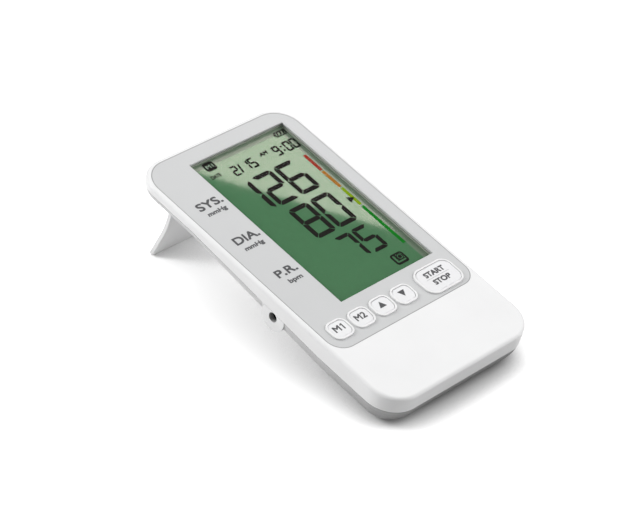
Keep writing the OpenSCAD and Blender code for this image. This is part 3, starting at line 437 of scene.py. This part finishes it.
def digit(char, x0, y0, w, h, t, r, gap):
    """Polygons of one seven-segment digit in its box, with rounded corners and mitred joints."""
    turn = math.degrees(gap / 2 / r)
    m = gap / math.sqrt(2)
    s = t * 0.30
    a = (arc(r, h - r, r, 135 - turn, 90, 4) + arc(w - r, h - r, r, 90, 45 + turn, 4)
         + [(w - t - m / 2, h - t), (t + m / 2, h - t)])
    f = (arc(r, h - r, r, 135 + turn, 180, 4) + [(0, h / 2 + gap / 2), (s, h / 2 + gap / 2),
         (t, h / 2 + t / 2 + m), (t, h - t - m / 2)])
    g = [(s + gap, h / 2), (t - 0.1 * t, h / 2 + t / 2), (w - t + 0.1 * t, h / 2 + t / 2),
         (w - s - gap, h / 2), (w - t + 0.1 * t, h / 2 - t / 2), (t - 0.1 * t, h / 2 - t / 2)]
    shapes = {
        "a": a, "d": [(x, h - y) for x, y in a], "g": g,
        "f": f, "e": [(x, h - y) for x, y in f],
        "b": [(w - x, y) for x, y in f], "c": [(w - x, h - y) for x, y in f],
    }
    return [[(x0 + x, y0 + y) for x, y in shapes[k]] for k in SEGMENTS[char]]


# heights in the device frame: the display's glass, its segments and its colour bar
GLASS_Z = -2.45
SEG_Z = GLASS_Z + 0.05
BAR_Z = GLASS_Z + 0.03
# width, height, stroke, corner radius and gap of the digits
LARGE = (11.6, 20.1, 2.45, 2.3, 0.34)
MIDDLE = (9.0, 15.9, 2.05, 1.9, 0.3)
SMALL = (3.6, 6.25, 0.98, 0.75, 0.13)

big = []
for text, y0 in (("126", 78.85), (" 80", 55.2)):
    for k, char in enumerate(text):
        if char != " ":
            big += digit(char, 12.45 - 13.04 * (2 - k), y0, *LARGE)
for k, char in enumerate("75"):
    big += digit(char, 15.15 - 10.1 * (1 - k), 35.95, *MIDDLE)
flat("display_readings", big, SEG_Z, "segment")

small = []
for char, x0 in (("2", -4.67), ("1", 1.75), ("5", 5.6), ("9", 20.55), ("0", 27.1), ("0", 31.0)):
    small += digit(char, x0, 102.85, *SMALL)
small.append(box(-0.8, 0.1, 103.3, 108.7, 1.1))
for y in (104.2, 106.85):
    small.append(box(25.1, 26.15, y, y + 0.95, 0.15))
flat("display_date_and_time", small, SEG_Z, "segment")
for name, text, place, bold in (
        ("display_date_label", "DATE", (-15.6, -9.8, 106.75, 108.85), 0.16),
        ("display_am_label", "AM", (13.2, 18.0, 106.75, 109.1), 0.24)):
    lettering(name, text, place, SEG_Z, "segment", bold=bold, shear=0.2)

flat("display_memory_badge", [rounded(-14.0, -8.15, 111.3, 116.7, 1.25)], SEG_Z, "segment")
lettering("display_memory_number", "M1", (-13.05, -9.1, 112.9, 115.05), SEG_Z + 0.02, "badge",
          bold=0.1)

outer = rounded(28.35, 34.85, 112.35, 115.6, 0.45)
inner = rounded(28.95, 34.25, 112.95, 115.0, 0.2)
battery = band(outer, inner) + [box(27.85, 28.4, 113.3, 114.65)]
for x in (29.2, 30.95, 32.7):
    battery.append(box(x, x + 0.9, 113.1, 114.9, 0.65))
flat("display_battery_sign", battery, SEG_Z, "segment")

# sign for a cuff on an arm: a frame, the arm's edge strip and a round cross-section
outer = rounded(18.75, 25.9, 24.75, 31.25, 1.5)
inner = rounded(19.75, 25.0, 25.95, 30.45, 0.8)
cuff = band(outer, inner) + [box(20.7, 25.4, 26.8, 27.25)]
cuff.append([(21.05, 27.2), (22.0, 27.2), (21.75, 30.7), (20.4, 30.7), (21.0, 29.6), (20.75, 28.4)])
ARM = (23.2, 28.7)
cuff += band(arc(*ARM, 1.75, 0, 360, 24)[:-1], arc(*ARM, 1.35, 0, 360, 24)[:-1])
cuff.append(arc(*ARM, 0.95, 0, 360, 20)[:-1])
flat("display_cuff_sign", cuff, SEG_Z, "segment")

for name, y0, y1 in (("red", 86.4, 97.7), ("orange", 74.25, 85.75),
                     ("lime", 61.3, 73.4), ("green", 33.75, 60.25)):
    flat("display_bar_" + name, [box(30.3, 32.05, y0, y1)], BAR_Z, name)
flat("display_pointer", [[(28.3, 64.15), (31.85, 66.1), (28.3, 68.05)]], SEG_Z, "segment")

# foam strip that fills the slot between the window and the display
STRIP_W = 0.46
gasket_verts, gasket_faces = [], []
for z in (-2.43, -1.81):
    for grow in (0.0, STRIP_W):
        x0, x1, y0, y1 = WX0 - grow, WX1 + grow, WY0 - grow, WY1 + grow
        gasket_verts += [world(x, y, z) for x, y in box(x0, x1, y0, y1)]
for k in range(4):
    m = (k + 1) % 4
    gasket_faces += [(k, m, 8 + m, 8 + k), (4 + k, 12 + k, 12 + m, 4 + m),
                     (k, 4 + k, 4 + m, m), (8 + k, 8 + m, 12 + m, 12 + k)]
gasket = add("display_gasket", mesh_of("display_gasket", gasket_verts, gasket_faces, "gasket"))
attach(gasket, "case")

# ------------------------------------------------------------------ joint lines: dark strips, painted shade in the panel's joint and under the seam
CASE_HALF, NEAR_Y, FAR_Y, CASE_R = 44.15, -34.5, 127.45, 14     # outline of the case
PANEL_HALF, PANEL_L, NEAR_R, FAR_R = 42.0, 125.3, 8, 12           # outline of the grey panel
# the seam's depth at the near and far ends, and where it rises from one to the other
SEAM_NEAR, SEAM_FAR, RISE_FROM, RISE_L = 8.3, 3.5, 8.0, 80.0
SEAM_IN, SEAM_TOP, SEAM_LOW = 0.22, 0.02, 0.42                    # place of the line under the seam


def outline(half, y0, y1, near_r, far_r, steps=10):
    """A rectangle across the device, x from -half to half, with round corners."""
    return (arc(half - far_r, y1 - far_r, far_r, 0, 90, steps)
            + arc(far_r - half, y1 - far_r, far_r, 90, 180, steps)
            + arc(near_r - half, y0 + near_r, near_r, 180, 270, steps)
            + arc(half - near_r, y0 + near_r, near_r, 270, 360, steps))


def panel_line(grow):
    """The panel's outline, grown by grow."""
    return outline(PANEL_HALF + grow, -grow, PANEL_L + grow, NEAR_R + grow, FAR_R + grow)


# a dark strip round the panel's edge: painted shade in its joint with the cover
flat("panel_groove_shade", band(panel_line(0.08), panel_line(-0.3)), 0.012, "groove")


def seam_z(y):
    """Depth of the line between the front cover and the rear shell."""
    t = min(max((y - RISE_FROM) / RISE_L, 0.0), 1.0)
    return -SEAM_NEAR + (SEAM_NEAR - SEAM_FAR) * t


def seam_path():
    """Points along the seam, close together along the sides."""
    path = []
    r = CASE_R - SEAM_IN
    ring = outline(CASE_HALF - SEAM_IN, NEAR_Y + SEAM_IN, FAR_Y - SEAM_IN, r, r, 14)
    for k, (x0, y0) in enumerate(ring):
        x1, y1 = ring[(k + 1) % len(ring)]
        parts = 16 if abs(y1 - y0) > 40 else 1
        path += [(x0 + (x1 - x0) * m / parts, y0 + (y1 - y0) * m / parts) for m in range(parts)]
    return path


# a dark strip just under the seam: painted shadow in the joint between front cover and rear shell
strip_verts, strip_faces = [], []
path = seam_path()
for x, y in path:
    strip_verts += [world(x, y, seam_z(y) - SEAM_TOP), world(x, y, seam_z(y) - SEAM_LOW)]
for k in range(len(path)):
    m = (k + 1) % len(path)
    middle = (path[k][1] + path[m][1]) / 2
    if path[k][0] < 0 and abs(middle - BOSS_Y) < BOSS_REACH - 0.1:
        continue                    # the boss covers the seam there
    strip_faces.append((2 * k, 2 * k + 1, 2 * m + 1, 2 * m))
strip = add("seam_shadow", mesh_of("seam_shadow", strip_verts, strip_faces, "seam"))
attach(strip, "case")

# ------------------------------------------------------------------ legends
PANEL_Z, KEY_Z = 0.03, 0.65       # just above the panel and above the keys
for name, text, place, unit, unit_place, shear in (
        ("panel_sys", "SYS.", (-35.9, -22.3, 92.5, 97.1),
         "mmHg", (-34.5, -23.7, 87.7, 90.8), 0.12),
        ("panel_dia", "DIA.", (-35.9, -22.4, 68.9, 73.4),
         "mmHg", (-34.8, -23.9, 63.8, 66.9), 0.12),
        ("panel_pulse", "P.R.", (-33.8, -22.5, 45.0, 49.4),
         "bpm", (-31.5, -24.0, 39.7, 42.9), 0.0)):
    lettering(name, text, place, PANEL_Z, "ink", bold=0.35)
    lettering(name + "_unit", unit, unit_place, PANEL_Z, "ink_small", bold=0.3, shear=shear)

MEMORY_BOLD, START_BOLD = 0.22, 0.3
lettering("memory_1_legend", "M", (-35.4, -31.95, 8.55, 11.9), KEY_Z, "ink", "memory_1_button",
          MEMORY_BOLD)
flat("memory_1_number", [box(-30.55, -29.9, 8.55, 11.9),
                         [(-30.55, 11.9), (-31.25, 11.3), (-31.25, 10.75), (-30.55, 11.2)]],
     KEY_Z, "ink", "memory_1_button")
lettering("memory_2_legend", "M2", (-22.9, -17.0, 8.55, 11.9), KEY_Z, "ink", "memory_2_button",
          MEMORY_BOLD)
flat("up_legend", [[(-9.2, 8.85), (-5.3, 8.85), (-7.25, 12.2)]], KEY_Z, "ink", "up_button")
flat("down_legend", [[(3.65, 11.9), (5.55, 8.5), (7.45, 11.9)]], KEY_Z, "ink", "down_button")
lettering("start_legend", "START", (20.8, 32.5, 10.75, 13.7), KEY_Z, "ink", "start_button",
          START_BOLD)
lettering("stop_legend", "STOP", (21.9, 31.8, 5.8, 8.7), KEY_Z, "ink", "start_button", START_BOLD)
flat("start_divider", [box(19.7, 33.4, 9.68, 9.92)], KEY_Z, "divider", "start_button")

# ------------------------------------------------------------------ floor, light and camera
# The floor's values, each in front and at the far left
FLOOR_SEEN = (0.40, 0.70)       # its colour as it is seen
FLOOR_GLOW = (1.8, 1.25)        # its added white, kept at 1 at most
SHADOW = (2.35, 1.4)            # how quickly the shadow fades away from the object
BOUNCE = (0.32, 0.74)           # its colour as the object is lit by it
FLOOR_SIZE = 8
# The sky: its strength, and its grey from the camera's side to beyond the object
# and from the picture's right to its left
SKY = 2.4
FRONT_TO_BACK = ((-1, 0.1), (1, 0.05), (-0.6, 0.38), (0.0, 1.0), (0.6, 0.10))
RIGHT_TO_LEFT = ((-1, 1.0), (1, 0.192), (0, 0.445))
# The softbox that the display mirrors: its radiance, and its length, width and height in mm
CARD_RADIANCE, CARD_L, CARD_W, CARD_H = 2.55, 1500, 900, 800
# The camera: its place in the device frame, its focal length and image width in pixels
EYE = (-676.096, -422.393, 742.583)
FOCAL_PX, IMAGE_W, SENSOR = 2617.02, 632, 36


def stage_plane(name, size, z, mat):
    mesh = bpy.data.meshes.new(name)
    h = size / 2
    mesh.from_pydata([(-h, -h, z), (h, -h, z), (h, h, z), (-h, h, z)], [], [(0, 1, 2, 3)])
    mesh.materials.append(mat)
    obj = add(name, mesh)


floor_mat, n, l, bsdf = shader("floor", (0.8, 0.8, 0.8), 0.9, 0.0)


def calc(operation, a, b):
    """A Math node on a and b, each a socket or a number."""
    node = n.new("ShaderNodeMath")
    node.operation = operation
    for k, value in enumerate((a, b)):
        if isinstance(value, float):
            node.inputs[k].default_value = value
        else:
            l.new(value, node.inputs[k])
    return node.outputs[0]


# seen straight or in a mirror the floor is a white sweep; its added white fades with ambient
# occlusion close to the object, a painted shadow over the one its lamps cast, deepened in front
# where its seen colour is darker; what it sheds on the object is less in front than at the far left
path = n.new("ShaderNodeLightPath")
seen = calc("MAXIMUM", path.outputs["Is Camera Ray"],
            calc("MAXIMUM", path.outputs["Is Glossy Ray"], path.outputs["Is Transmission Ray"]))
near = n.new("ShaderNodeAmbientOcclusion")
near.samples = 8
near.inputs["Distance"].default_value = 0.25
place = n.new("ShaderNodeNewGeometry")
parts = n.new("ShaderNodeSeparateXYZ")
l.new(place.outputs["Position"], parts.inputs["Vector"])
across = calc("SUBTRACT", parts.outputs["Y"], parts.outputs["X"])


def ground(front, left):
    """A value for the floor that goes from front to far left."""
    node = n.new("ShaderNodeMapRange")
    node.interpolation_type = "SMOOTHSTEP"
    node.inputs["From Min"].default_value = -0.085
    node.inputs["From Max"].default_value = 0.0
    node.inputs["To Min"].default_value = front
    node.inputs["To Max"].default_value = left
    l.new(across, node.inputs["Value"])
    return node.outputs["Result"]


shade = n.new("ShaderNodeMix")
shade.data_type = "FLOAT"
l.new(seen, shade.inputs["Factor"])
l.new(ground(*BOUNCE), shade.inputs["A"])
l.new(ground(*FLOOR_SEEN), shade.inputs["B"])
l.new(shade.outputs["Result"], bsdf.inputs["Base Color"])
fade = calc("POWER", near.outputs["AO"], ground(*SHADOW))
glow = calc("MULTIPLY", seen, calc("MINIMUM", calc("MULTIPLY", fade, ground(*FLOOR_GLOW)), 1.0))
bsdf.inputs["Emission Color"].default_value = (1, 1, 1, 1)
l.new(glow, bsdf.inputs["Emission Strength"])
stage_plane("floor", FLOOR_SIZE, 0, floor_mat)


def area(name, place, aim, size, power):
    light = bpy.data.lights.new(name, "AREA")
    light.shape = "RECTANGLE"
    light.size = light.size_y = size
    light.energy = power
    obj = add(name, light)
    obj.location = place
    obj.rotation_euler = (Vector(aim) - Vector(place)).to_track_quat("-Z", "Y").to_euler()


# world light: palest at the picture's right, in a broad band square to the line of sight
env = bpy.data.worlds.new("studio")
bpy.context.scene.world = env
env.use_nodes = True
n, l = env.node_tree.nodes, env.node_tree.links
coord = n.new("ShaderNodeTexCoord")
turn = n.new("ShaderNodeVectorRotate")
turn.rotation_type = "Z_AXIS"
turn.inputs["Angle"].default_value = math.radians(-45)
l.new(coord.outputs["Generated"], turn.inputs["Vector"])
split = n.new("ShaderNodeSeparateXYZ")
l.new(turn.outputs["Vector"], split.inputs["Vector"])


def curve(value, stops):
    """A smooth grey ramp over a direction's part from -1 to 1."""
    fit = n.new("ShaderNodeMapRange")
    fit.inputs["From Min"].default_value = -1
    l.new(value, fit.inputs["Value"])
    ramp = n.new("ShaderNodeValToRGB")
    ramp.color_ramp.interpolation = "EASE"
    for k, (at, level) in enumerate(stops):
        e = ramp.color_ramp.elements[k] if k < 2 else ramp.color_ramp.elements.new((at + 1) / 2)
        e.position = (at + 1) / 2
        e.color = (level, level, level, 1)
    l.new(fit.outputs["Result"], ramp.inputs["Fac"])
    return ramp.outputs["Color"]


depth = curve(split.outputs["X"], FRONT_TO_BACK)
side = curve(split.outputs["Y"], RIGHT_TO_LEFT)
l.new(blend(n, l, 1, depth, side, "MULTIPLY"), n["Background"].inputs["Color"])
n["Background"].inputs["Strength"].default_value = SKY


def mirrored(x, y, height):
    """Where the camera's ray goes that the display mirrors at (x, y), at height above it."""
    k = height / (EYE[2] - GLASS_Z)
    return Vector((x + k * (x - EYE[0]), y + k * (y - EYE[1]), GLASS_Z + height))


# the softbox at the far right: the display's glass mirrors its near edge
e0, e1 = mirrored(-17.75, 113.0, CARD_H), mirrored(36.0, 36.8, CARD_H)
along = (e1 - e0).normalized()
out = Vector((-along.y, along.x, 0))
if out.x < 0:
    out = -out
mid = (e0 + e1) / 2 + out * CARD_W / 2
card = bpy.data.lights.new("softbox", "AREA")
card.shape = "RECTANGLE"
card.size, card.size_y = CARD_L / 1000, CARD_W / 1000
card_obj = add("softbox", card)
# the lamp's -Z shines down onto the face; its X runs along the edge
zx = (TURN @ along).normalized()
zz = (TURN @ Vector((0, 0, 1))).normalized()
zy = zz.cross(zx)
basis = Matrix((zx, zy, zz)).transposed().to_4x4()
basis.translation = DEVICE @ mid
card_obj.matrix_world = basis
card_obj.visible_diffuse = False
card.energy = CARD_RADIANCE * math.pi * card.size * card.size_y

AIM = (0, 0, 0.03)
area("far_left", (-1.0, 0.9, 1.1), AIM, 0.6, 17)
area("right", (1.3, -0.5, 1.1), AIM, 0.7, 5)

cam = bpy.data.cameras.new("camera")
cam.sensor_width = SENSOR
cam.sensor_fit = "HORIZONTAL"
cam.lens = FOCAL_PX / IMAGE_W * SENSOR
cam.clip_start = 0.05
cam_obj = add("camera", cam)
# the fitted camera looks from the near left, and its picture is level with the horizon
forward = Vector((0.604, 0.6055, -0.5187)).normalized()
right = forward.cross(Vector((0, 0, 1))).normalized()
up = right.cross(forward)
pose = Matrix((right, up, -forward)).transposed().to_4x4()
pose.translation = DEVICE @ Vector(EYE)
cam_obj.matrix_world = pose
bpy.context.scene.camera = cam_obj
bpy.context.scene.view_settings.view_transform = "Standard"
